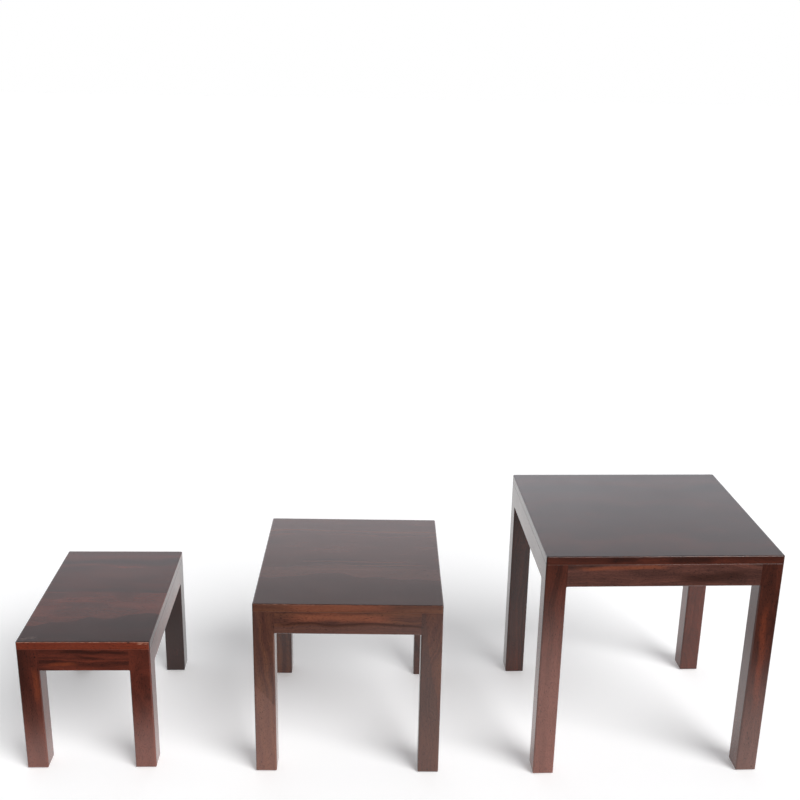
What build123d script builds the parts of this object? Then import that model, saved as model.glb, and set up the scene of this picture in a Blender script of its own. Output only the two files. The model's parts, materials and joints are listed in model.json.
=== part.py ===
from build123d import *
import os
from math import atan2, degrees

# A nest of three solid wood tables. Each has four square legs, four aprons let into the legs with
# mortise and tenon joints, and a glued-up top whose edges are flush with the frame on every side.
# A smaller table goes in under the next larger one from the front.
# Here they stand on the floor side by side, in a row along X, with their fronts towards -Y.
# Each table is modelled about the centre of its own footprint, then set down in its place in the row.

# The three tables, in millimetres and degrees: the outer size, where the centre of the footprint
# stands relative to the medium table's, and how far the table is turned, anticlockwise from above.
tables = {
    "small": {"width": 270, "depth": 420, "height": 302, "across": -543, "back": 18, "turn": 0},
    "medium": {"width": 385, "depth": 420, "height": 396, "across": 0, "back": 0, "turn": -1.3},
    "large": {"width": 482, "depth": 440, "height": 508, "across": 625, "back": 3, "turn": 1},
}

# Legs and aprons.
leg_size = 44
apron_height = 49
apron_thickness = 20

# The top, and the boards it is glued up from, front to back.
top_thickness = 18
board_names = ["front", "second", "third", "back"]

# Eased edges.
corner_radius = 3.5  # upright edges of the legs and of the top
edge_radius = 2.5  # upper edge of the top, lower edges of the aprons
seam_chamfer = 0.4  # above and below the seam between the top and the frame
foot_radius = 6  # lower edges of the feet

# Mortise and tenon joints.
tenon_length = 24
tenon_thickness = 10
tenon_face_setback = 5  # in from the apron's outer face
tenon_top_setback = 8
tenon_bottom_setback = 6
mortise_end_room = 1
glue_gap = 0.1

# Corner blocks, under the top, against two aprons and notched round the leg.
block_height = 30
block_reach = 76  # along each apron
block_end = 8  # width of its blunt ends

# Countersunk wood screws, measured from the face of the block that they go in at.
screw_radius = 2.1
screw_tip_length = 5
head_radius = 4
head_height = 2.6
head_sink = 0.3
recess_length = 4.6
recess_width = 1
recess_depth = 1.3
screw_clearance = 0.05
leg_screw_length = 45
top_screw_length = 40
top_screw_along = 56  # along one apron, from the corner where the aprons' inner faces meet
top_screw_out = 12  # out from that apron's inner face

left_right = {"left": -1, "right": 1}
front_back = {"front": -1, "back": 1}
corners = [(side_x, side_y) for side_y in front_back.values() for side_x in left_right.values()]


def seam_height(table):
    # the top lies on the frame at this height
    return table["height"] - top_thickness


def in_from_corner(table, corner, in_x, in_y):
    # the point so far in from the two outer faces that meet at one corner of the table
    side_x, side_y = corner
    return (side_x * (table["width"] / 2 - in_x), side_y * (table["depth"] / 2 - in_y))


# The top: one panel with its edges eased, cut along the glue lines.
def top_boards(table):
    width, depth = table["width"], table["depth"]
    outline = fillet(Rectangle(width, depth).vertices(), corner_radius)
    panel = extrude(Pos(0, 0, seam_height(table)) * outline, top_thickness)
    panel = fillet(panel.faces().sort_by(Axis.Z)[-1].edges(), edge_radius)
    panel = chamfer(panel.faces().sort_by(Axis.Z)[0].edges(), seam_chamfer)
    panel -= holes(top_screw_places(table), top_screw_length)
    board_width = depth / len(board_names)
    boards = {}
    for index, name in enumerate(board_names):
        middle = (index + 0.5) * board_width - depth / 2
        region = Pos(0, middle, table["height"]) * Box(2 * width, board_width, table["height"])
        boards[f"top_{name}_board"] = panel & region
    return boards


# The aprons: each one's span between the legs, and the place of its upper outer edge's middle.
def apron_places(table):
    width, depth, height = table["width"], table["depth"], seam_height(table)
    between_left_and_right = width - 2 * leg_size
    between_front_and_back = depth - 2 * leg_size
    return {
        "front": (between_left_and_right, Pos(0, -depth / 2, height)),
        "back": (between_left_and_right, Pos(0, depth / 2, height) * Rot(0, 0, 180)),
        "left": (between_front_and_back, Pos(-width / 2, 0, height) * Rot(0, 0, -90)),
        "right": (between_front_and_back, Pos(width / 2, 0, height) * Rot(0, 0, 90)),
    }


# The tenons at both ends of an apron or, with a gap all round, the mortises they go into.
def tenons(span, length, gap):
    thickness = tenon_thickness + 2 * gap
    height = apron_height - tenon_top_setback - tenon_bottom_setback + 2 * gap
    middle_y = tenon_face_setback + tenon_thickness / 2
    middle_z = (tenon_bottom_setback - tenon_top_setback - apron_height) / 2
    tenon = Box(length, thickness, height)
    return [Pos(side * (span + length) / 2, middle_y, middle_z) * tenon for side in (-1, 1)]


# An apron lies along X, with its outer face at Y = 0 and its upper edge at Z = 0.
def apron(span):
    rail = Box(span, apron_thickness, apron_height, align=(Align.CENTER, Align.MIN, Align.MAX))
    rail = fillet(rail.edges().filter_by(Axis.X).group_by(Axis.Z)[0], edge_radius)
    seam_edge = rail.edges().filter_by(Axis.X).group_by(Axis.Z)[-1].sort_by(Axis.Y)[0]
    rail = chamfer(seam_edge, seam_chamfer)
    return rail + tenons(span, tenon_length, 0)


def mortises(table):
    length = tenon_length + mortise_end_room
    return [place * mortise
            for span, place in apron_places(table).values()
            for mortise in tenons(span, length, glue_gap)]


# A leg: all four upright edges are eased below the aprons, and only the outer one beside them.
def leg(table, corner):
    side_x, side_y = corner
    apron_bottom = seam_height(table) - apron_height
    square = Rectangle(leg_size, leg_size)
    outer_vertex = square.vertices().sort_by(lambda vertex: side_x * vertex.X + side_y * vertex.Y)[-1]
    lower = extrude(fillet(square.vertices(), corner_radius), apron_bottom)
    upper = extrude(Pos(0, 0, apron_bottom) * fillet(outer_vertex, corner_radius), apron_height)
    outer_face = leg_size / 2 - corner_radius
    seam_edges = [edge for edge in upper.faces().sort_by(Axis.Z)[-1].edges()
                  if max(side_x * edge.center().X, side_y * edge.center().Y) > outer_face]
    upper = chamfer(seam_edges, seam_chamfer)
    with_foot = extrude(square, seam_height(table))
    with_foot = fillet(with_foot.faces().sort_by(Axis.Z)[0].edges(), foot_radius)
    middle = in_from_corner(table, corner, leg_size / 2, leg_size / 2)
    shape = Pos(*middle) * ((lower + upper) & with_foot)
    return shape - mortises(table) - holes(leg_screw_places(table), leg_screw_length)


# A corner block, seen from above, is a triangle with blunt ends and a notch for the leg.
def corner_block(table, corner):
    near, far = apron_thickness, apron_thickness + block_reach
    outline = [
        (near, leg_size), (leg_size, leg_size), (leg_size, near),
        (far, near), (far, near + block_end), (near + block_end, far), (near, far),
    ]
    points = [in_from_corner(table, corner, *point) for point in outline]
    lower_face = Pos(0, 0, seam_height(table) - block_height) * make_face(Polyline(points, close=True))
    shape = extrude(lower_face, block_height, dir=(0, 0, 1))
    shape -= holes(leg_screw_places(table), leg_screw_length)
    return shape - holes(top_screw_places(table), top_screw_length)


# Where the screws go in: each place is on the face of a block, with Z along the screw.
def leg_screw_places(table):
    # level, through the long face of each block and into the leg's inner corner
    in_from_faces = apron_thickness + (block_reach + block_end) / 2
    height = seam_height(table) - block_height / 2
    places = []
    for side_x, side_y in corners:
        x, y = in_from_corner(table, (side_x, side_y), in_from_faces, in_from_faces)
        heading = degrees(atan2(side_y, side_x))
        places.append(Pos(x, y, height) * Rot(0, 0, heading) * Rot(0, 90, 0))
    return places


def top_screw_places(table):
    # two to each block, straight up into the top
    along = apron_thickness + top_screw_along
    out = apron_thickness + top_screw_out
    height = seam_height(table) - block_height
    return [Pos(*in_from_corner(table, corner, *spot), height)
            for corner in corners for spot in ((along, out), (out, along))]


def turned(half_section):
    points = [(radius, 0, height) for radius, height in half_section]
    return revolve(make_face(Polyline(points, close=True)), Axis.Z)


def screw_profile(length, gap):
    return [
        (head_radius + gap, head_sink),
        (screw_radius + gap, head_sink + head_height),
        (screw_radius + gap, head_sink + length - screw_tip_length),
        (0, head_sink + length + gap),
    ]


def screw(length):
    shape = turned([(0, head_sink)] + screw_profile(length, 0))
    slot = Pos(0, 0, head_sink) * Box(recess_length, recess_width, 2 * recess_depth)
    return shape - [slot, Rot(0, 0, 90) * slot]


def holes(places, length):
    mouth = [(0, 0), (head_radius + screw_clearance, 0)]
    hole = turned(mouth + screw_profile(length, screw_clearance))
    return [place * hole for place in places]


def screws(places, length):
    return Compound([place * screw(length) for place in places])


def table_pieces(table):
    pieces = top_boards(table)
    for end, side_y in front_back.items():
        for side, side_x in left_right.items():
            pieces[f"{end}_{side}_leg"] = leg(table, (side_x, side_y))
    for side, (span, place) in apron_places(table).items():
        pieces[f"{side}_apron"] = place * apron(span)
    pieces["corner_blocks"] = Compound([corner_block(table, corner) for corner in corners])
    pieces["leg_screws"] = screws(leg_screw_places(table), leg_screw_length)
    pieces["top_screws"] = screws(top_screw_places(table), top_screw_length)
    return pieces


# The row of three.
row = {}
for size, table in tables.items():
    stand = Pos(table["across"], table["back"], 0) * Rot(0, 0, table["turn"])
    for name, shape in table_pieces(table).items():
        row[f"{size}_{name}"] = stand * shape

# The origin is on the floor, under the middle of the box that the row fills.
extent = Compound(list(row.values())).bounding_box()
to_origin = Pos(-extent.center().X, -extent.center().Y, -extent.min.Z)

os.makedirs("parts", exist_ok=True)
for name, shape in row.items():
    export_step(to_origin * shape, f"parts/{name}.step")
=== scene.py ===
import json
from math import atan2, cos, degrees, pi, radians, sin

import bpy
from mathutils import Matrix, Vector

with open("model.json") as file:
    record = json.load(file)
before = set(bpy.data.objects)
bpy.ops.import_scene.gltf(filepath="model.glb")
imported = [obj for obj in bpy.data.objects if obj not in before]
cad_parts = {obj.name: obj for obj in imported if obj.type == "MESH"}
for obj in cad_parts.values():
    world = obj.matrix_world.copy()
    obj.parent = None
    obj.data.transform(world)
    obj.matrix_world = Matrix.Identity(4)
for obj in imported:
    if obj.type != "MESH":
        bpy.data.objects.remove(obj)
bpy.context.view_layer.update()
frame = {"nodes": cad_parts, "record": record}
nodes = frame["nodes"]
bodies = frame["record"]["behaviour"]["bodies"]
mm = 0.001
print("frame loaded:", len(nodes), "nodes")


# sRGB hex to the linear values that the shaders use
def linear(hexColour):
    parts = [int(hexColour[i:i + 2], 16) / 255 for i in (1, 3, 5)]
    return tuple(p / 12.92 if p <= 0.04045 else ((p + 0.055) / 1.055) ** 2.4 for p in parts) + (1.0,)


# one node with its settings; an input is a number, a colour, or the socket that it is linked to
def addNode(tree, kind, settings=None, **inputs):
    node = tree.nodes.new(kind)
    for key, value in (settings or {}).items():
        setattr(node, key, value)
    for key, value in inputs.items():
        place = int(key[1:]) if key[1:].isdigit() else key.replace("_", " ")
        socket = node.inputs[place]
        if isinstance(value, bpy.types.NodeSocket):
            tree.links.new(value, socket)
        else:
            socket.default_value = value
    return node


# settings that many nodes share
colourMix = {"data_type": "RGBA"}
smooth = {"interpolation_type": "SMOOTHSTEP"}
times = {"operation": "MULTIPLY"}
timesPlus = {"operation": "MULTIPLY_ADD"}
minus = {"operation": "SUBTRACT"}
dividedBy = {"operation": "DIVIDE"}
noiseLow, noiseHigh = 0.3, 0.7    # a noise seldom goes beyond these levels


def newMaterial(name):
    material = bpy.data.materials.new(name)
    material.use_nodes = True
    material.node_tree.nodes.clear()
    return material, material.node_tree


# standing height, looking down at the row from in front of the medium table
camera = {
    "place": (-0.081, -2.1236, 1.4383),
    "yaw": -2.299,      # degrees, as are the next two
    "down": 17.704,
    "roll": 1.12,
    "lens": 47.93,      # mm, as is the sensor's width
    "sensor": 36,
}


def addCamera():
    bpy.ops.object.camera_add()
    cam = bpy.context.object
    cam.name = "camera"
    cam.data.lens = camera["lens"]
    cam.data.sensor_width = camera["sensor"]
    cam.matrix_world = (Matrix.Translation(camera["place"])
                        @ Matrix.Rotation(radians(camera["yaw"]), 4, "Z")
                        @ Matrix.Rotation(radians(90 - camera["down"]), 4, "X")
                        @ Matrix.Rotation(radians(camera["roll"]), 4, "Z"))
    bpy.context.scene.camera = cam


addCamera()
print("camera set")


# the studio: white paper floor, a bright wall behind, a dark room in front, a soft key from the right
floorLook = {
    "size": 80,
    "colour": "#f2f2f2",
    "paintedGlowSeen": 0.24,            # painted glow: light that the paper gives off into its own shadows, though it is no lamp
    "paintedGlowThrown": 0.35,          # and the painted glow that it throws at the tables
    # m: painted pool of light: how far in front of the tables the paper's colour stays bright, from left to
    # right
    "brightTo": [(-1.0, -0.30), (-0.74, -0.31), (-0.6, -0.34), (-0.35, -0.52), (-0.1, -0.70), (0.32, -0.88),
                 (0.74, -0.68), (1.2, -0.45)],
    "fade": (0.75, 1.3),         # shares of that distance at which the fade starts and ends
    "paintedPoolBeyond": 0.10,           # painted brightness of the paper's colour beyond it
}

skyLook = {
    # sine of the height above the horizon, and the brightness there
    "behind": [(0.0, 2.2), (0.34, 2.2), (0.37, 2.0), (0.408, 1.52), (0.4415, 1.04), (0.474, 0.68),
               (0.509, 0.39), (0.56, 0.32), (1.0, 0.42)],
    # from left to right along the wall
    "across": [(-1.0, 0.6), (-0.27, 0.9), (0.0, 1.0), (0.2, 0.86), (0.31, 0.73), (1.0, 0.55)],
    "tint": (0.955, 0.985, 1.045),
    "ceilingTint": (1.02, 1.0, 0.98),
    "tintLimits": (0.5, 0.65),   # sine of the height at which the wall's tint goes over to the ceiling's
    "frontShare": 0.3,           # the room in front is this much darker
    "frontLimits": (-0.35, 0.25),
}

keyLook = {
    "azimuth": 42,      # degrees to the right of the fronts
    "elevation": 40,
    "spread": 40,
    "strength": 3.1,
    "distance": 3,      # m; where a sun stands makes no difference to its light
}


# brightness at a place, from a few given places and their brightness
def brightnessAlong(tree, points, value):
    starts, levels = [at for at, _ in points], [level for _, level in points]
    low, high, bottom, top = min(starts), max(starts), min(levels), max(levels)
    inside = addNode(tree, "ShaderNodeMapRange", Value=value, From_Min=low, From_Max=high)
    node = addNode(tree, "ShaderNodeFloatCurve", Value=inside.outputs["Result"])
    curve = node.mapping.curves[0]
    for index, (at, level) in enumerate(points):
        place = ((at - low) / (high - low), (level - bottom) / (top - bottom))
        if index < 2:
            curve.points[index].location = place
        else:
            curve.points.new(*place)
    node.mapping.update()
    return addNode(tree, "ShaderNodeMapRange", Value=node.outputs["Value"],
                   To_Min=bottom, To_Max=top).outputs["Result"]


def addFloor():
    bpy.ops.object.select_all(action="DESELECT")
    bpy.ops.mesh.primitive_plane_add(size=floorLook["size"])
    floor = bpy.context.object
    floor.name = "floor"
    material, tree = newMaterial("matt white studio paper with painted glow and light pool")
    coords = addNode(tree, "ShaderNodeTexCoord")
    place = addNode(tree, "ShaderNodeSeparateXYZ", Vector=coords.outputs["Object"])
    # painted pool of light: full colour near the tables, fading in front of them
    limit = brightnessAlong(tree, floorLook["brightTo"], place.outputs["X"])
    ratio = addNode(tree, "ShaderNodeMath", dividedBy, i0=place.outputs["Y"], i1=limit)
    share = addNode(tree, "ShaderNodeMapRange", smooth,
                    Value=ratio.outputs["Value"],
                    From_Min=floorLook["fade"][0], From_Max=floorLook["fade"][1],
                    To_Min=1.0, To_Max=floorLook["paintedPoolBeyond"])
    # seen directly the paper is white all over; only in what it throws at the tables does its colour carry a
    # painted pool of light, darker away from them
    path = addNode(tree, "ShaderNodeLightPath")
    shown = addNode(tree, "ShaderNodeMath", {"operation": "MAXIMUM"},
                    i0=share.outputs["Result"], i1=path.outputs["Is Camera Ray"])
    colour = addNode(tree, "ShaderNodeVectorMath", {"operation": "SCALE"},
                     i0=linear(floorLook["colour"])[:3], Scale=shown.outputs["Value"])
    paper = addNode(tree, "ShaderNodeBsdfDiffuse", Color=colour.outputs["Vector"])
    # painted glow: the paper gives off light, more in what it throws at the tables than where it is seen
    strength = addNode(tree, "ShaderNodeMapRange", Value=path.outputs["Is Camera Ray"],
                       To_Min=floorLook["paintedGlowThrown"], To_Max=floorLook["paintedGlowSeen"])
    glow = addNode(tree, "ShaderNodeEmission", Color=colour.outputs["Vector"],
                   Strength=strength.outputs["Result"])
    both = addNode(tree, "ShaderNodeAddShader", i0=paper.outputs["BSDF"], i1=glow.outputs["Emission"])
    addNode(tree, "ShaderNodeOutputMaterial", Surface=both.outputs["Shader"])
    floor.data.materials.append(material)


def addSky():
    world = bpy.data.worlds.new("studio")
    bpy.context.scene.world = world
    world.use_nodes = True
    tree = world.node_tree
    tree.nodes.clear()
    coords = addNode(tree, "ShaderNodeTexCoord")
    way = addNode(tree, "ShaderNodeSeparateXYZ", Vector=coords.outputs["Generated"])
    wall = brightnessAlong(tree, skyLook["behind"], way.outputs["Z"])
    middle = brightnessAlong(tree, skyLook["across"], way.outputs["X"])
    room = addNode(tree, "ShaderNodeMapRange", smooth, Value=way.outputs["Y"],
                   From_Min=skyLook["frontLimits"][0], From_Max=skyLook["frontLimits"][1],
                   To_Min=skyLook["frontShare"], To_Max=1.0)
    level = addNode(tree, "ShaderNodeMath", times, i0=wall, i1=middle)
    level = addNode(tree, "ShaderNodeMath", times, i0=level.outputs["Value"],
                    i1=room.outputs["Result"])
    # the wall is lit a little cooler than the ceiling
    low = addNode(tree, "ShaderNodeMapRange", Value=way.outputs["Z"],
                  From_Min=skyLook["tintLimits"][0], From_Max=skyLook["tintLimits"][1],
                  To_Min=1.0, To_Max=0.0)
    tint = addNode(tree, "ShaderNodeMix", colourMix, Factor=low.outputs["Result"],
                   i6=(*skyLook["ceilingTint"], 1), i7=(*skyLook["tint"], 1))
    tinted = addNode(tree, "ShaderNodeVectorMath", {"operation": "SCALE"}, i0=tint.outputs[2],
                     Scale=level.outputs["Value"])
    # seen directly the surroundings are plain white; wall and room are there only in light and reflections
    path = addNode(tree, "ShaderNodeLightPath")
    seen = addNode(tree, "ShaderNodeMix", colourMix, Factor=path.outputs["Is Camera Ray"],
                   i6=tinted.outputs["Vector"], i7=(1, 1, 1, 1))
    sky = addNode(tree, "ShaderNodeBackground", Color=seen.outputs[2])
    addNode(tree, "ShaderNodeOutputWorld", Surface=sky.outputs["Background"])


def addKeyLight():
    across, up = radians(keyLook["azimuth"]), radians(keyLook["elevation"])
    towards = Vector((sin(across) * cos(up), -cos(across) * cos(up), sin(up)))
    bpy.ops.object.light_add(type="SUN", location=towards * keyLook["distance"])
    key = bpy.context.object
    key.name = "key light"
    key.rotation_euler = towards.to_track_quat("Z", "Y").to_euler()
    key.data.angle = radians(keyLook["spread"])
    key.data.energy = keyLook["strength"]


addFloor()
addSky()
addKeyLight()
bpy.context.scene.view_settings.view_transform = "Standard"
print("studio set")


# the biggest forward-looking face of the front apron tells how far the table is turned
def tableTurn(table):
    faces = [f for f in nodes[table + "_front_apron"].data.polygons if f.normal.y < -0.99]
    normal = max(faces, key=lambda face: face.area).normal
    return atan2(normal.x, -normal.y)


# lowest and highest corners in millimetres, measured along the turned table's own directions
def ownBox(nodeNames, turn):
    straighten = Matrix.Rotation(-turn, 3, "Z")
    points = [straighten @ vertex.co / mm for name in nodeNames for vertex in nodes[name].data.vertices]
    return (Vector([min(point[i] for point in points) for i in range(3)]),
            Vector([max(point[i] for point in points) for i in range(3)]))


# Indian rosewood, planed, dark mahogany stain, semi-gloss lacquer: brown-black and red-brown streaks under
# a clear sheen that shows pale wall and floor at a low angle
rosewood = {
    "stops": [0.22, 0.40, 0.52, 0.66, 0.82],
    "pore": "#170b08",
    "worn": "#a8674a",
    "bare": "#5a3626",
    "streakWidth": 16,            # mm, as are the next sizes; widths are across the grain
    "fineStreakWidth": 3.2,
    "fibreWidth": 1.2,            # real fibres are finer; this is as coarse as they need to show
    "fibreLength": 45,
    "poreWidth": 0.5,
    "poreLength": 7,
    "blotchWidth": 28,
    "blotchLength": 90,
    "bendWidth": 75,
    "bendLength": 190,
    "bendDepth": 56,              # for noise that runs from 0 to 1
    "wornFrom": 0.2,
    "wornWidth": 4.16,
    "sideDepths": (0.3, 1.0),     # inside a face, where what is drawn on it fades out
    "rubSize": 14,
    "cloudSize": 70,
    "poreDepth": 0.04,
    "bareAbove": (0.3, 1.2),      # above the seam, where the lacquer starts
    "fineShare": 0.26,            # how much each pattern changes the tone
    "fibreShare": 0.24,
    "blotchShare": 0.34,
    "poreLimits": (0.60, 0.70),   # noise levels, as are the next ones
    "rubLimits": (0.44, 0.62),
    "fleckLimits": (0.25, 0.6),
    "brokenLimits": (0.47, 0.58),
    "rubLeast": 0.25,             # shares of the effect that are always there
    "fleckLeast": 0.7,
    "paintedFootLightLeast": 0.65,
    "paintedFootLightLimits": (0.3, 0.6),     # tones between which the painted floor light at the feet takes
    "wornShare": 0.25,
    "bareShares": (0.2, 0.85),
    "fibreRelief": 0.3,
    "reliefStrength": 0.15,
    "ior": 1.5,
    "roughness": (0.185, 0.22),
    "bareRoughness": 0.6,
    "logStep": 870,               # how far apart two cuts lie in the log, for each unit of seed
    "streakStep": 5.1,
    "fineStreakStep": 9.7,
}


# 1 along the arrises of a box and 0 inside it, a little uneven, from millimetre coordinates
def arrisMask(tree, local, low, high, unevenness):
    away = addNode(tree, "ShaderNodeVectorMath", minus, i0=local, i1=(low + high) / 2)
    away = addNode(tree, "ShaderNodeVectorMath", {"operation": "ABSOLUTE"}, i0=away.outputs["Vector"])
    depth = addNode(tree, "ShaderNodeVectorMath", minus, i0=(high - low) / 2,
                    i1=away.outputs["Vector"])
    total = addNode(tree, "ShaderNodeVectorMath", {"operation": "DOT_PRODUCT"}, i0=depth.outputs["Vector"],
                    i1=(1, 1, 1))
    each = addNode(tree, "ShaderNodeSeparateXYZ", Vector=depth.outputs["Vector"])
    most = addNode(tree, "ShaderNodeMath", {"operation": "MAXIMUM"}, i0=each.outputs["X"],
                   i1=each.outputs["Y"])
    most = addNode(tree, "ShaderNodeMath", {"operation": "MAXIMUM"}, i0=most.outputs["Value"],
                   i1=each.outputs["Z"])
    # the two shortest distances to the faces add up to little only beside an arris
    nearest = addNode(tree, "ShaderNodeMath", minus, i0=total.outputs["Value"],
                      i1=most.outputs["Value"])
    width = addNode(tree, "ShaderNodeMath", times, i0=unevenness,
                    i1=rosewood["wornWidth"])
    return addNode(tree, "ShaderNodeMapRange", smooth,
                   Value=nearest.outputs["Value"], From_Min=rosewood["wornFrom"],
                   From_Max=width.outputs["Value"],
                   To_Min=1.0, To_Max=0.0).outputs["Result"]


# 1 on the front and back faces of a box, 0 more than a millimetre inside them
def sideMask(tree, local, low, high):
    away = addNode(tree, "ShaderNodeVectorMath", minus, i0=local, i1=(low + high) / 2)
    away = addNode(tree, "ShaderNodeVectorMath", {"operation": "ABSOLUTE"}, i0=away.outputs["Vector"])
    depth = addNode(tree, "ShaderNodeVectorMath", minus, i0=(high - low) / 2,
                    i1=away.outputs["Vector"])
    each = addNode(tree, "ShaderNodeSeparateXYZ", Vector=depth.outputs["Vector"])
    return addNode(tree, "ShaderNodeMapRange", smooth,
                   Value=each.outputs["Y"], From_Min=rosewood["sideDepths"][0],
                   From_Max=rosewood["sideDepths"][1], To_Min=1.0, To_Max=0.0).outputs["Result"]


# what a mark is unless its own values say otherwise
plainMark = {"along": "X", "across": "Z", "slope": 0.0, "sharp": 0.2, "reach": (-400, 400), "fade": 30}


# a streak or the limit of a darker zone, wandering along the grain; millimetres on the table
def markMask(tree, local, mark):
    axes = addNode(tree, "ShaderNodeSeparateXYZ", Vector=local)
    along, across = axes.outputs[mark["along"]], axes.outputs[mark["across"]]
    wander = addNode(tree, "ShaderNodeTexNoise", {"noise_dimensions": "2D"}, Scale=1.0, Detail=2.0,
                     Vector=addNode(tree, "ShaderNodeCombineXYZ", Y=mark["seed"],
                                    X=addNode(tree, "ShaderNodeMath", dividedBy, i0=along,
                                              i1=mark["length"]).outputs["Value"]).outputs["Vector"])
    middle = addNode(tree, "ShaderNodeMapRange", {"clamp": False}, Value=wander.outputs["Fac"],
                     From_Min=noiseLow, From_Max=noiseHigh,
                     To_Min=mark["at"] - mark["wander"], To_Max=mark["at"] + mark["wander"])
    middle = addNode(tree, "ShaderNodeMath", timesPlus, i0=along, i1=mark["slope"],
                     i2=middle.outputs["Result"])
    offset = addNode(tree, "ShaderNodeMath", minus, i0=across, i1=middle.outputs["Value"])
    if mark["kind"] == "streak":
        offset = addNode(tree, "ShaderNodeMath", {"operation": "ABSOLUTE"}, i0=offset.outputs["Value"])
    mask = addNode(tree, "ShaderNodeMapRange", smooth,
                   Value=offset.outputs["Value"], From_Min=mark["width"] * mark["sharp"],
                   From_Max=mark["width"], To_Min=mark["share"], To_Max=0.0)
    (start, end), fade = mark["reach"], mark["fade"]
    into = addNode(tree, "ShaderNodeMapRange", smooth, Value=along,
                   From_Min=start, From_Max=start + fade)
    out = addNode(tree, "ShaderNodeMapRange", smooth, Value=along,
                  From_Min=end - fade, From_Max=end, To_Min=1.0, To_Max=0.0)
    mask = addNode(tree, "ShaderNodeMath", times, i0=mask.outputs["Result"],
                   i1=into.outputs["Result"])
    return addNode(tree, "ShaderNodeMath", times, i0=mask.outputs["Value"],
                   i1=out.outputs["Result"]).outputs["Value"]


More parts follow.
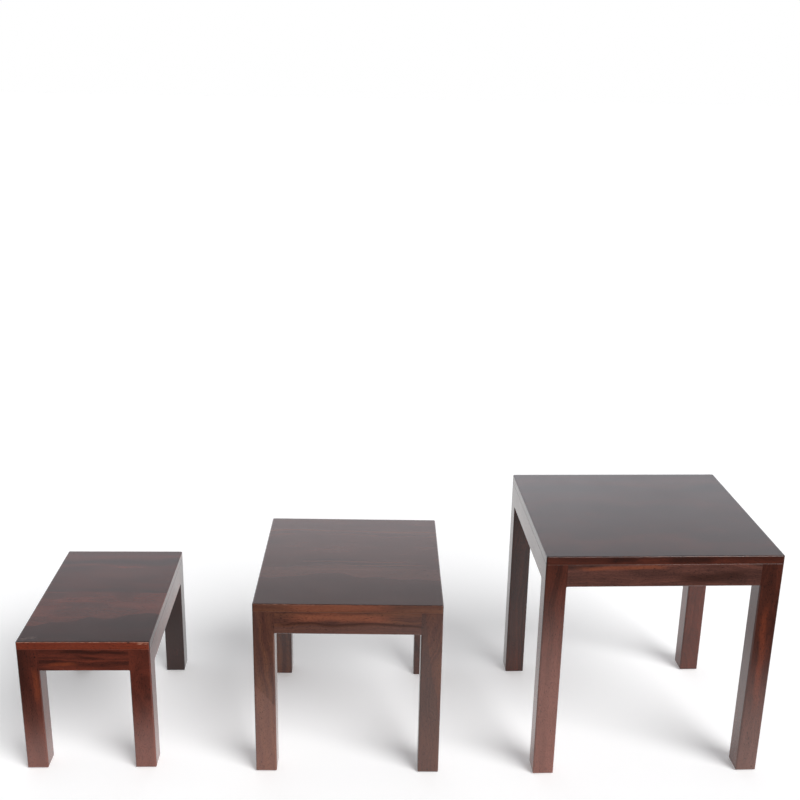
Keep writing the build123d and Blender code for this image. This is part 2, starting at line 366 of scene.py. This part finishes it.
def stainedRosewood(name, cut):
    material, tree = newMaterial(name + " stained rosewood")
    coords = addNode(tree, "ShaderNodeTexCoord")
    centre = cut["centre"]
    local = addNode(tree, "ShaderNodeMapping", {"vector_type": "TEXTURE"}, Vector=coords.outputs["Object"],
                    Location=(centre[0] * mm, centre[1] * mm, 0), Rotation=(0, 0, cut["turn"]),
                    Scale=(mm, mm, mm)).outputs["Vector"]
    # grain along the first coordinate; each piece is its own cut of the log
    toGrain = {"X": (0, 0, 0), "Y": (0, 0, radians(-90)), "Z": (0, radians(90), 0)}[cut["grain"]]
    lean = cut.get("lean", 0)
    inLog = addNode(tree, "ShaderNodeMapping", Vector=local, Rotation=toGrain).outputs["Vector"]
    inLog = addNode(tree, "ShaderNodeMapping", Vector=inLog,
                    Location=(cut["seed"] * rosewood["logStep"], 0, 0),
                    Rotation=(0, radians(lean), radians(lean))).outputs["Vector"]

    # slow bends of the growth rings along the grain
    bendAt = addNode(tree, "ShaderNodeVectorMath", dividedBy, i0=inLog,
                     i1=(rosewood["bendLength"], rosewood["bendWidth"], rosewood["bendWidth"]))
    bend = addNode(tree, "ShaderNodeTexNoise", Vector=bendAt.outputs["Vector"], Scale=1.0, Detail=2.5)
    bent = addNode(tree, "ShaderNodeVectorMath", timesPlus, i0=bend.outputs["Color"],
                   i1=(0, rosewood["bendDepth"], rosewood["bendDepth"]), i2=inLog).outputs["Vector"]

    # growth rings round a pith outside the piece: broad streaks, and finer ones within them
    pith = cut["pith"]
    fromPith = addNode(tree, "ShaderNodeVectorMath", timesPlus, i0=bent, i1=(0, 1, 1),
                       i2=(0, pith[0], pith[1]))
    radius = addNode(tree, "ShaderNodeVectorMath", {"operation": "LENGTH"}, i0=fromPith.outputs["Vector"])
    broadAt = addNode(tree, "ShaderNodeMath", timesPlus, i0=radius.outputs["Value"],
                      i1=1 / rosewood["streakWidth"], i2=cut["seed"] * rosewood["streakStep"])
    broad = addNode(tree, "ShaderNodeTexNoise", {"noise_dimensions": "1D"}, W=broadAt.outputs["Value"],
                    Scale=1.0, Detail=1.5)
    fineAt = addNode(tree, "ShaderNodeMath", timesPlus, i0=radius.outputs["Value"],
                     i1=1 / rosewood["fineStreakWidth"], i2=cut["seed"] * rosewood["fineStreakStep"])
    fine = addNode(tree, "ShaderNodeTexNoise", {"noise_dimensions": "1D"}, W=fineAt.outputs["Value"],
                   Scale=1.0, Detail=3.0, Roughness=0.6)

    # fibres and open pores, long along the grain
    fibreAt = addNode(tree, "ShaderNodeVectorMath", dividedBy, i0=bent,
                      i1=(rosewood["fibreLength"], rosewood["fibreWidth"], rosewood["fibreWidth"]))
    fibres = addNode(tree, "ShaderNodeTexNoise", Vector=fibreAt.outputs["Vector"], Scale=1.0, Detail=3.0,
                     Roughness=0.6)
    poreAt = addNode(tree, "ShaderNodeVectorMath", dividedBy, i0=bent,
                     i1=(rosewood["poreLength"], rosewood["poreWidth"], rosewood["poreWidth"]))
    poreNoise = addNode(tree, "ShaderNodeTexNoise", Vector=poreAt.outputs["Vector"], Scale=1.0, Detail=1.0)
    pores = addNode(tree, "ShaderNodeMapRange", smooth,
                    Value=poreNoise.outputs["Fac"], From_Min=rosewood["poreLimits"][0],
                    From_Max=rosewood["poreLimits"][1])

    # blotches where the stain soaked in deeper
    blotch = addNode(tree, "ShaderNodeTexNoise", Scale=1.0, Detail=3.0,
                     Vector=addNode(tree, "ShaderNodeVectorMath", dividedBy, i0=inLog,
                                    i1=(rosewood["blotchLength"], rosewood["blotchWidth"],
                                        rosewood["blotchWidth"])).outputs["Vector"])

    # together they pick from the stained colours
    level = addNode(tree, "ShaderNodeMath", timesPlus, i0=broad.outputs["Fac"],
                    i1=cut["contrast"], i2=cut["light"])
    for noise, share in ((fine, rosewood["fineShare"]), (fibres, rosewood["fibreShare"]),
                         (blotch, rosewood["blotchShare"])):
        centred = addNode(tree, "ShaderNodeMath", minus, i0=noise.outputs["Fac"], i1=0.5)
        level = addNode(tree, "ShaderNodeMath", timesPlus, i0=centred.outputs["Value"],
                        i1=share * cut["grainShare"], i2=level.outputs["Value"])
    side = None
    if "panel" in cut:
        side = sideMask(tree, local, *cut["panel"])
        # painted light: a board's front and back faces made paler than its top, for how the light falls on
        # them
        level = addNode(tree, "ShaderNodeMath", timesPlus, i0=side,
                        i1=cut["paintedSideLight"], i2=level.outputs["Value"])
    ramp = addNode(tree, "ShaderNodeValToRGB", Fac=level.outputs["Value"])
    for _ in cut["colours"][2:]:
        ramp.color_ramp.elements.new(0.5)
    for element, at, colour in zip(ramp.color_ramp.elements, rosewood["stops"], cut["colours"]):
        element.position = at
        element.color = linear(colour)
    colour = ramp.outputs["Color"]
    for own in cut.get("marks", []):
        mark = {**plainMark, **own}
        broken = mark.get("broken")
        limits = rosewood["brokenLimits" if broken else "fleckLimits"]
        fleck = addNode(tree, "ShaderNodeMapRange", Value=fibres.outputs["Fac"], From_Min=limits[0],
                        From_Max=limits[1], To_Min=0.0 if broken else rosewood["fleckLeast"], To_Max=1.0)
        mask = addNode(tree, "ShaderNodeMath", times, i0=markMask(tree, local, mark),
                       i1=fleck.outputs["Result"])
        if side is not None:
            # a mark shows only on the faces that it is meant for
            facing = side
            if mark["across"] != "Z":
                facing = addNode(tree, "ShaderNodeMath", minus, i0=1.0, i1=side).outputs["Value"]
            mask = addNode(tree, "ShaderNodeMath", times, i0=mask.outputs["Value"], i1=facing)
        colour = addNode(tree, "ShaderNodeMix", colourMix, Factor=mask.outputs["Value"], i6=colour,
                         i7=linear(mark["colour"])).outputs[2]
    height = addNode(tree, "ShaderNodeSeparateXYZ", Vector=local).outputs["Z"]
    if cut.get("paintedFootLight"):
        # painted light: the front legs paler towards the floor, for the bright paper's light and reflection
        # there
        paintedFootShare = addNode(tree, "ShaderNodeMapRange", smooth, Value=height,
                       From_Min=cut["paintedFootLight"]["full"], From_Max=cut["paintedFootLight"]["reach"],
                       To_Min=cut["paintedFootLight"]["share"], To_Max=0.0)
        paintedFootShare = addNode(tree, "ShaderNodeMath", times, i0=paintedFootShare.outputs["Result"],
                       i1=addNode(tree, "ShaderNodeMapRange", Value=level.outputs["Value"],
                                  From_Min=rosewood["paintedFootLightLimits"][0], From_Max=rosewood["paintedFootLightLimits"][1],
                                  To_Min=rosewood["paintedFootLightLeast"], To_Max=1.0).outputs["Result"])
        colour = addNode(tree, "ShaderNodeMix", colourMix, Factor=paintedFootShare.outputs["Value"], i6=colour,
                         i7=linear(cut["paintedFootLight"]["colour"])).outputs[2]
    colour = addNode(tree, "ShaderNodeMix", colourMix, Factor=pores.outputs["Result"], i6=colour,
                     i7=linear(rosewood["pore"])).outputs[2]

    # stain rubbed thin along the arrises
    rub = addNode(tree, "ShaderNodeTexNoise", Vector=local, Scale=1 / rosewood["rubSize"],
                  Detail=4.0, Roughness=0.65)
    patches = addNode(tree, "ShaderNodeMapRange", smooth, Value=rub.outputs["Fac"],
                      From_Min=rosewood["rubLimits"][0], From_Max=rosewood["rubLimits"][1],
                      To_Min=rosewood["rubLeast"], To_Max=1.0)
    for low, high, top in cut["arrises"]:
        mask = arrisMask(tree, local, low, high, rub.outputs["Fac"])
        if top is not None:
            below = addNode(tree, "ShaderNodeMath", {"operation": "LESS_THAN"}, i0=height, i1=top)
            mask = addNode(tree, "ShaderNodeMath", times, i0=mask,
                           i1=below.outputs["Value"]).outputs["Value"]
        worn = addNode(tree, "ShaderNodeMath", times, i0=mask, i1=patches.outputs["Result"])
        worn = addNode(tree, "ShaderNodeMath", times, i0=worn.outputs["Value"],
                       i1=rosewood["wornShare"])
        colour = addNode(tree, "ShaderNodeMix", colourMix, Factor=worn.outputs["Value"], i6=colour,
                         i7=linear(rosewood["worn"])).outputs[2]

    # lacquer: brushed on a little unevenly, dull where hands and cups have been, sunk into the pores
    cloud = addNode(tree, "ShaderNodeTexNoise", Vector=local, Scale=1 / rosewood["cloudSize"], Detail=3.0)
    rough = addNode(tree, "ShaderNodeMapRange", Value=cloud.outputs["Fac"],
                    From_Min=noiseLow, From_Max=noiseHigh,
                    To_Min=rosewood["roughness"][0], To_Max=rosewood["roughness"][1])
    rough = rough.outputs["Result"]
    if "seam" in cut:
        # the underside is stained but has no lacquer
        bare = addNode(tree, "ShaderNodeMapRange", smooth, Value=height,
                       From_Min=cut["seam"] + rosewood["bareAbove"][0],
                       From_Max=cut["seam"] + rosewood["bareAbove"][1], To_Min=1.0, To_Max=0.0)
        rough = addNode(tree, "ShaderNodeMix", {"data_type": "FLOAT"}, Factor=bare.outputs["Result"],
                        i2=rough, i3=rosewood["bareRoughness"]).outputs[0]
        # the stain took unevenly on it
        taken = addNode(tree, "ShaderNodeMapRange", Value=fibres.outputs["Fac"],
                        From_Min=noiseLow, From_Max=noiseHigh,
                        To_Min=rosewood["bareShares"][0], To_Max=rosewood["bareShares"][1])
        taken = addNode(tree, "ShaderNodeMath", times, i0=bare.outputs["Result"],
                        i1=taken.outputs["Result"])
        colour = addNode(tree, "ShaderNodeMix", colourMix, Factor=taken.outputs["Value"], i6=colour,
                         i7=linear(rosewood["bare"])).outputs[2]
    sunk = addNode(tree, "ShaderNodeMath", timesPlus, i0=fibres.outputs["Fac"],
                   i1=rosewood["fibreRelief"], i2=pores.outputs["Result"])
    bump = addNode(tree, "ShaderNodeBump", {"invert": True}, Height=sunk.outputs["Value"],
                   Strength=rosewood["reliefStrength"], Distance=rosewood["poreDepth"] * mm)
    lacquered = addNode(tree, "ShaderNodeBsdfPrincipled", Base_Color=colour, IOR=rosewood["ior"],
                        Roughness=rough, Normal=bump.outputs["Normal"])
    addNode(tree, "ShaderNodeOutputMaterial", Surface=lacquered.outputs["BSDF"])
    return material


# the same rosewood, sawn and left rough with one thin coat of stain: dull, furry, with the saw's fine ridges
sawnLook = {
    "colours": ["#2b160e", "#4a2a1c", "#6d4530"],
    "stops": (0.3, 0.5, 0.72),
    "ridgeWidth": 3.5,            # mm from one saw mark to the next
    "fibreWidth": 1.6,            # mm, as are the next sizes
    "fibreLength": 30,
    "wobbleLength": 33,
    "wobbleDepth": 6,
    "patchSize": 25,
    "reliefDepth": 0.25,
    "reliefStrength": 0.5,
    "ridgeShare": 0.6,
    "fibreShare": 0.6,            # how much each pattern changes the tone, round the base tone
    "patchShare": 0.5,
    "baseTone": -0.05,
    "roughness": (0.70, 0.88),
}


def sawnRosewood(name, centre, turn):
    material, tree = newMaterial(name + " sawn rosewood")
    coords = addNode(tree, "ShaderNodeTexCoord")
    local = addNode(tree, "ShaderNodeMapping", {"vector_type": "TEXTURE"}, Vector=coords.outputs["Object"],
                    Location=(centre[0] * mm, centre[1] * mm, 0), Rotation=(0, 0, turn + radians(45)),
                    Scale=(mm, mm, mm)).outputs["Vector"]
    fibreAt = addNode(tree, "ShaderNodeVectorMath", dividedBy, i0=local,
                      i1=(sawnLook["fibreLength"], sawnLook["fibreWidth"], sawnLook["fibreWidth"]))
    fibres = addNode(tree, "ShaderNodeTexNoise", Vector=fibreAt.outputs["Vector"], Scale=1.0, Detail=4.0,
                     Roughness=0.65)
    # the thin stain sank in unevenly
    patchy = addNode(tree, "ShaderNodeTexNoise", Vector=local, Scale=1 / sawnLook["patchSize"], Detail=3.0)
    level = addNode(tree, "ShaderNodeMath", timesPlus, i0=fibres.outputs["Fac"],
                    i1=sawnLook["fibreShare"], i2=sawnLook["baseTone"])
    level = addNode(tree, "ShaderNodeMath", timesPlus, i0=patchy.outputs["Fac"],
                    i1=sawnLook["patchShare"], i2=level.outputs["Value"])
    ramp = addNode(tree, "ShaderNodeValToRGB", Fac=level.outputs["Value"])
    ramp.color_ramp.elements.new(0.5)
    for element, at, colour in zip(ramp.color_ramp.elements, sawnLook["stops"], sawnLook["colours"]):
        element.position = at
        element.color = linear(colour)
    wobble = addNode(tree, "ShaderNodeTexNoise", Vector=local, Scale=1 / sawnLook["wobbleLength"], Detail=2.0)
    bent = addNode(tree, "ShaderNodeVectorMath", timesPlus, i0=wobble.outputs["Color"],
                   i1=(sawnLook["wobbleDepth"],) * 3, i2=local)
    # a wave's bands are two pi over twenty apart at scale one
    ridges = addNode(tree, "ShaderNodeTexWave", {"bands_direction": "X"}, Vector=bent.outputs["Vector"],
                     Scale=pi / 10 / sawnLook["ridgeWidth"], Distortion=0.6, Detail=2.0)
    relief = addNode(tree, "ShaderNodeMath", timesPlus, i0=ridges.outputs["Fac"],
                     i1=sawnLook["ridgeShare"], i2=fibres.outputs["Fac"])
    bump = addNode(tree, "ShaderNodeBump", Height=relief.outputs["Value"],
                   Strength=sawnLook["reliefStrength"], Distance=sawnLook["reliefDepth"] * mm)
    rough = addNode(tree, "ShaderNodeMapRange", Value=patchy.outputs["Fac"],
                    From_Min=noiseLow, From_Max=noiseHigh,
                    To_Min=sawnLook["roughness"][0], To_Max=sawnLook["roughness"][1])
    sawn = addNode(tree, "ShaderNodeBsdfPrincipled", Base_Color=ramp.outputs["Color"],
                   Roughness=rough.outputs["Result"], Normal=bump.outputs["Normal"])
    addNode(tree, "ShaderNodeOutputMaterial", Surface=sawn.outputs["BSDF"])
    return material


# steel wood screws, barrel plated with zinc: greyish metal, mottled and a little dull, with fine rub marks
screwLook = {
    "bright": "#b7b6b0",
    "dull": "#7d7a73",
    "mottle": 2.5,                # mm, as are the next two
    "rub": 0.4,
    "rubDepth": 0.03,
    "rubStrength": 0.3,
    "mottleLimits": (0.38, 0.62),
    "roughLimits": (0.35, 0.65),
    "roughness": (0.48, 0.30),    # from dull to bright
}


def zincPlatedSteel():
    material, tree = newMaterial("zinc plated steel")
    coords = addNode(tree, "ShaderNodeTexCoord")
    mottle = addNode(tree, "ShaderNodeTexNoise", Vector=coords.outputs["Object"], Detail=3.0,
                     Scale=1 / (screwLook["mottle"] * mm))
    rub = addNode(tree, "ShaderNodeTexNoise", Vector=coords.outputs["Object"], Detail=2.0,
                  Scale=1 / (screwLook["rub"] * mm))
    share = addNode(tree, "ShaderNodeMapRange", smooth, Value=mottle.outputs["Fac"],
                    From_Min=screwLook["mottleLimits"][0], From_Max=screwLook["mottleLimits"][1])
    colour = addNode(tree, "ShaderNodeMix", colourMix, Factor=share.outputs["Result"],
                     i6=linear(screwLook["dull"]), i7=linear(screwLook["bright"])).outputs[2]
    rough = addNode(tree, "ShaderNodeMapRange", Value=mottle.outputs["Fac"],
                    From_Min=screwLook["roughLimits"][0], From_Max=screwLook["roughLimits"][1],
                    To_Min=screwLook["roughness"][0], To_Max=screwLook["roughness"][1])
    bump = addNode(tree, "ShaderNodeBump", Height=rub.outputs["Fac"],
                   Strength=screwLook["rubStrength"], Distance=screwLook["rubDepth"] * mm)
    plated = addNode(tree, "ShaderNodeBsdfPrincipled", Base_Color=colour, Metallic=1.0,
                     Roughness=rough.outputs["Result"], Normal=bump.outputs["Normal"])
    addNode(tree, "ShaderNodeOutputMaterial", Surface=plated.outputs["BSDF"])
    return material


def giveMaterial(nodeName, material):
    mesh = nodes[nodeName].data
    mesh.materials.clear()
    mesh.materials.append(material)
    mesh.polygons.foreach_set("material_index", [0] * len(mesh.polygons))


# what each table's pieces look like: light is the overall tone, marks are the streaks that stand out;
# a corner's own values go over the leg's
looks = {
    "small": {
        "seed": 3.1,
        "colours": ["#1c0b08", "#33160f", "#4e2218", "#6b3022", "#87432c"],
        "top": {"light": 0.27, "contrast": 0.36, "grainShare": 0.55, "paintedSideLight": 0.21, "marks": [
            {"kind": "streak", "across": "Y", "at": -92, "slope": 0.22, "wander": 8, "length": 70,
             "seed": 9.1, "width": 60, "colour": "#673a31", "share": 0.42, "sharp": 0.35},
            {"kind": "streak", "across": "Y", "at": 96, "slope": 0.05, "wander": 8, "length": 90, "seed": 4.8,
             "width": 34, "colour": "#5f372f", "share": 0.3, "sharp": 0.3, "reach": (-90, 135), "fade": 80},
            {"kind": "zone", "across": "Y", "at": -118, "slope": 0.2, "wander": 9, "length": 62, "seed": 2.3,
             "width": 6, "colour": "#2d1712", "share": 0.8},
            {"kind": "streak", "at": 294, "wander": 1, "length": 50, "seed": 6.1, "width": 12,
             "colour": "#8e3a20", "share": 0.36, "sharp": 0.5},
            # painted highlight: pale lines along the top's front arris
            {"kind": "streak", "at": 301.5, "wander": 0.1, "length": 80, "seed": 2.7, "width": 1.5,
             "colour": "#b98876", "share": 0.4},
            {"kind": "streak", "at": 301.6, "wander": 0.1, "length": 30, "seed": 1.7, "width": 1.6,
             "colour": "#d0a18c", "share": 0.7, "broken": True},
            # painted highlight at the right end of the top's front arris
            {"kind": "streak", "at": 299, "wander": 1, "length": 9, "seed": 7.4, "width": 4, "broken": True,
             "colour": "#d2a088", "share": 0.7, "reach": (108, 136), "fade": 8},
            {"kind": "streak", "across": "Y", "at": -196, "wander": 5, "length": 12, "seed": 4.4, "width": 7,
             "broken": True, "colour": "#8f7c76", "share": 0.42, "reach": (-132, -92), "fade": 8},
        ]},
        "apron": {"light": 0.32, "contrast": 0.45, "grainShare": 0.8, "marks": [
            {"kind": "streak", "at": 279, "wander": 2, "length": 60, "seed": 1.0, "width": 6, "slope": -0.02,
             "colour": "#2a0f08", "share": 0.8, "reach": (-60, 100)},
            {"kind": "streak", "at": 266, "wander": 4, "length": 70, "seed": 5.0, "width": 5,
             "colour": "#2c1009", "share": 0.7, "reach": (-30, 50)},
            {"kind": "streak", "at": 250, "wander": 3, "length": 60, "seed": 8.0, "width": 6,
             "colour": "#8a4024", "share": 0.6, "reach": (-85, -5)},
        ]},
        "leg": {"light": 0.4, "contrast": 0.22, "grainShare": 0.55,
                "paintedFootLight": {"colour": "#815348", "share": 0.6, "full": 20, "reach": 210}},
        "corners": {
            "front_left": {"marks": [
                {"kind": "streak", "along": "Z", "across": "X", "at": -101, "wander": 3, "length": 60,
                 "seed": 3.3, "width": 9, "colour": "#8c4327", "share": 0.45,
                 "reach": (150, 250), "fade": 30},
                {"kind": "streak", "along": "Z", "across": "X", "at": -129, "wander": 4, "length": 80,
                 "seed": 5.3, "width": 10, "colour": "#2f140e", "share": 0.6, "reach": (90, 300), "fade": 60},
            ]},
            "front_right": {"light": 0.43},
            "back_left": {"light": 0.22, "paintedFootLight": None},
            "back_right": {"light": 0.24, "paintedFootLight": None},
        },
    },
    "medium": {
        "seed": 7.7,
        "colours": ["#1e0f0c", "#36201a", "#4f2f27", "#67402f", "#7d5040"],
        "top": {"light": 0.425, "contrast": 0.15, "grainShare": 0.42, "paintedSideLight": 0.1, "marks": [
            {"kind": "zone", "across": "Y", "at": 4, "slope": -0.01, "wander": 2, "length": 300, "seed": 2.6,
             "width": 5, "colour": "#301b15", "share": 0.22},
            {"kind": "streak", "across": "Y", "at": -16, "wander": 2, "length": 260, "seed": 1.2, "width": 3,
             "colour": "#7a5146", "share": 0.32, "reach": (-150, 150), "fade": 90},
            {"kind": "streak", "across": "Y", "at": -34, "wander": 2, "length": 260, "seed": 7.2, "width": 4,
             "colour": "#7a5146", "share": 0.3, "reach": (-60, 200), "fade": 90},
            {"kind": "streak", "across": "Y", "at": -54, "wander": 3, "length": 260, "seed": 3.2, "width": 3,
             "colour": "#7a5146", "share": 0.26, "reach": (-170, 120), "fade": 90},
            {"kind": "streak", "across": "Y", "at": -72, "slope": -0.05, "wander": 12, "length": 120,
             "seed": 4.2, "width": 44, "colour": "#5f3e35", "share": 0.42, "sharp": 0.5},
            {"kind": "zone", "across": "Y", "at": -94, "slope": -0.05, "wander": 18, "length": 150,
             "seed": 4.2, "width": 8, "colour": "#301c17", "share": 0.58},
            {"kind": "streak", "at": 389, "wander": 2, "length": 110, "seed": 6.6, "width": 14,
             "colour": "#92523a", "share": 0.55, "reach": (-150, 110), "fade": 70},
            # painted highlight: a pale line along the left part of the top's front arris
            {"kind": "streak", "at": 395.3, "wander": 0.1, "length": 40, "seed": 5.7, "width": 1.8,
             "colour": "#bd8d7d", "share": 0.55, "broken": True, "reach": (-195, -30), "fade": 40},
        ]},
        "apron": {"light": 0.42, "contrast": 0.3, "grainShare": 0.7, "marks": [
            {"kind": "streak", "at": 366, "wander": 3, "length": 90, "seed": 3.0, "width": 14,
             "colour": "#92523a", "share": 0.6, "reach": (-140, 110), "fade": 60},
            {"kind": "streak", "at": 351, "wander": 4, "length": 110, "seed": 6.0, "width": 4,
             "colour": "#3a1d14", "share": 0.85, "reach": (-150, 190), "slope": -0.01},
            {"kind": "zone", "at": 344, "wander": 3, "length": 110, "seed": 6.0, "width": 4,
             "colour": "#5d403b", "share": 0.4},
        ]},
        "leg": {"light": 0.43, "contrast": 0.26, "grainShare": 0.6, "lean": 4,
                "paintedFootLight": {"colour": "#80564b", "share": 0.15, "full": 20, "reach": 200}},
        "corners": {
            "front_left": {"light": 0.46, "marks": [
                {"kind": "streak", "along": "Z", "across": "X", "at": -186, "wander": 3, "length": 90,
                 "seed": 8.2, "width": 14, "colour": "#4a3430", "share": 0.45,
                 "reach": (190, 420), "fade": 60},
                {"kind": "zone", "at": -25, "slope": -1.2, "wander": 6, "length": 40, "seed": 2.2, "width": 7,
                 "colour": "#84584b", "share": 0.36},
            ]},
            "front_right": {"light": 0.41, "marks": [
                {"kind": "zone", "along": "Z", "across": "X", "at": 212, "slope": -0.165, "wander": 4,
                 "length": 90, "seed": 6.2, "width": 4, "colour": "#42302b", "share": 0.5},
            ]},
            "back_left": {"light": 0.42, "paintedFootLight": None},
            "back_right": {"light": 0.36, "paintedFootLight": None},
        },
    },
    "large": {
        "seed": 12.9,
        "colours": ["#1b0b08", "#32160f", "#4b2318", "#653023", "#81432d"],
        "top": {"light": 0.22, "contrast": 0.36, "grainShare": 0.5, "paintedSideLight": 0.13, "marks": [
            {"kind": "streak", "across": "Y", "at": 122, "wander": 1, "length": 20, "seed": 2.6, "width": 4,
             "colour": "#150a08", "share": 0.7, "reach": (-60, -30), "fade": 12},
            {"kind": "streak", "across": "Y", "at": 60, "wander": 1, "length": 20, "seed": 3.6, "width": 3,
             "colour": "#150a08", "share": 0.7, "reach": (70, 96), "fade": 12},
            {"kind": "streak", "at": 500, "wander": 1, "length": 70, "seed": 5.5, "width": 9,
             "colour": "#200e09", "share": 0.7, "reach": (-125, -45), "fade": 25},
            {"kind": "streak", "at": 500, "wander": 1, "length": 70, "seed": 8.5, "width": 9,
             "colour": "#200e09", "share": 0.7, "reach": (-5, 105), "fade": 25},
        ]},
        "apron": {"light": 0.37, "contrast": 0.35, "grainShare": 0.8,
                  "colours": ["#1e0f0d", "#36201b", "#50312a", "#6a4137", "#844f3c"], "marks": [
            {"kind": "streak", "at": 483, "wander": 2, "length": 90, "seed": 4.0, "width": 6,
             "colour": "#8c4a2e", "share": 0.6, "reach": (-195, 20), "fade": 50},
            {"kind": "streak", "at": 463, "wander": 4, "length": 120, "seed": 2.0, "width": 15,
             "colour": "#2e160f", "share": 0.7, "reach": (10, 190), "fade": 50},
        ]},
        "leg": {"light": 0.38, "contrast": 0.22, "grainShare": 0.55,
                "paintedFootLight": {"colour": "#87594e", "share": 0.72, "full": 170, "reach": 470}},
        "corners": {
            "front_left": {"light": 0.4},
            "front_right": {"light": 0.46, "contrast": 0.1, "marks": [
                {"kind": "streak", "along": "Z", "across": "X", "at": 238, "wander": 3, "length": 90,
                 "seed": 7.3, "width": 9, "colour": "#2c120c", "share": 0.4, "reach": (180, 490), "fade": 80},
                {"kind": "streak", "along": "Z", "across": "X", "at": 217, "wander": 3, "length": 70,
                 "seed": 1.4, "width": 10, "colour": "#8a3f24", "share": 0.4,
                 "reach": (120, 430), "fade": 80},
            ], "paintedFootLight": {"colour": "#785a52", "share": 0.62, "full": 0, "reach": 300}},
            "back_left": {"light": 0.35, "paintedFootLight": None},
            "back_right": {"light": 0.45, "paintedFootLight": None},
        },
    },
}


# how each kind of piece was cut: the seeds set the cuts apart, and the pith is so many mm off in the log
cuts = {
    "board": {"seed": 0, "seedStep": 0.37, "pith": (35, 60), "pithStep": 30},
    "leg": {"seed": 2.1, "seedStep": 0.61, "pith": (45, 90), "pithStep": 0},
    "apron": {"seed": 5.3, "seedStep": 0.53, "pith": (70, 30), "pithStep": 0},
}
outOfTheWay = 60    # mm: moves an end of a box off the piece, so that no arris is drawn there


def cutFrom(kind, index, look):
    way = cuts[kind]
    return {"seed": look["seed"] + way["seed"] + way["seedStep"] * index,
            "pith": (way["pith"][0] + way["pithStep"] * index, way["pith"][1])}


def finishTable(table, look):
    turn = tableTurn(table)
    pieces = bodies[table + "_table"]
    boards = [name for name in pieces if name.endswith("_board")]
    low, high = ownBox(boards, turn)
    middle = (low + high) / 2
    stand = Matrix.Rotation(turn, 3, "Z") @ middle

    # in millimetres from the middle of the table's footprint
    def localBox(nodeNames, down=0, up=0):
        low, high = ownBox(nodeNames, turn)
        return (low - Vector((middle.x, middle.y, down)), high - Vector((middle.x, middle.y, -up)))

    shared = {"centre": (stand.x, stand.y), "turn": turn, "colours": look["colours"]}
    apronBottom = ownBox([table + "_front_apron"], turn)[0].z
    panel = localBox(boards, down=outOfTheWay)
    print(table, "table turned", round(degrees(turn), 2), "degrees, apron bottom at", round(apronBottom, 1))
    for index, name in enumerate(boards):
        cut = {**shared, **cutFrom("board", index, look), "grain": "X",
               "arrises": [(*panel, None)], "panel": panel, "seam": low.z, **look["top"]}
        giveMaterial(name, stainedRosewood(name, cut))
    for index, name in enumerate(name for name in pieces if name.endswith("_leg")):
        corner = name[len(table) + 1:-len("_leg")]
        cut = {**shared, **cutFrom("leg", index, look), "grain": "Z",
               "arrises": [(*localBox([name], up=outOfTheWay), apronBottom),
                           (*localBox(pieces, up=outOfTheWay), None)],
               **look["leg"], **look["corners"][corner]}
        giveMaterial(name, stainedRosewood(name, cut))
    for index, name in enumerate(name for name in pieces if name.endswith("_apron")):
        cut = {**shared, **cutFrom("apron", index, look),
               "grain": "Y" if "left" in name or "right" in name else "X",
               "arrises": [(*localBox([name], up=outOfTheWay), None)], **look["apron"]}
        giveMaterial(name, stainedRosewood(name, cut))
    giveMaterial(table + "_corner_blocks", sawnRosewood(table + "_corner_blocks", (stand.x, stand.y), turn))
    for name in ("leg_screws", "top_screws"):
        giveMaterial(table + "_" + name, steel)


steel = zincPlatedSteel()
for table, look in looks.items():
    finishTable(table, look)
print("tables finished")
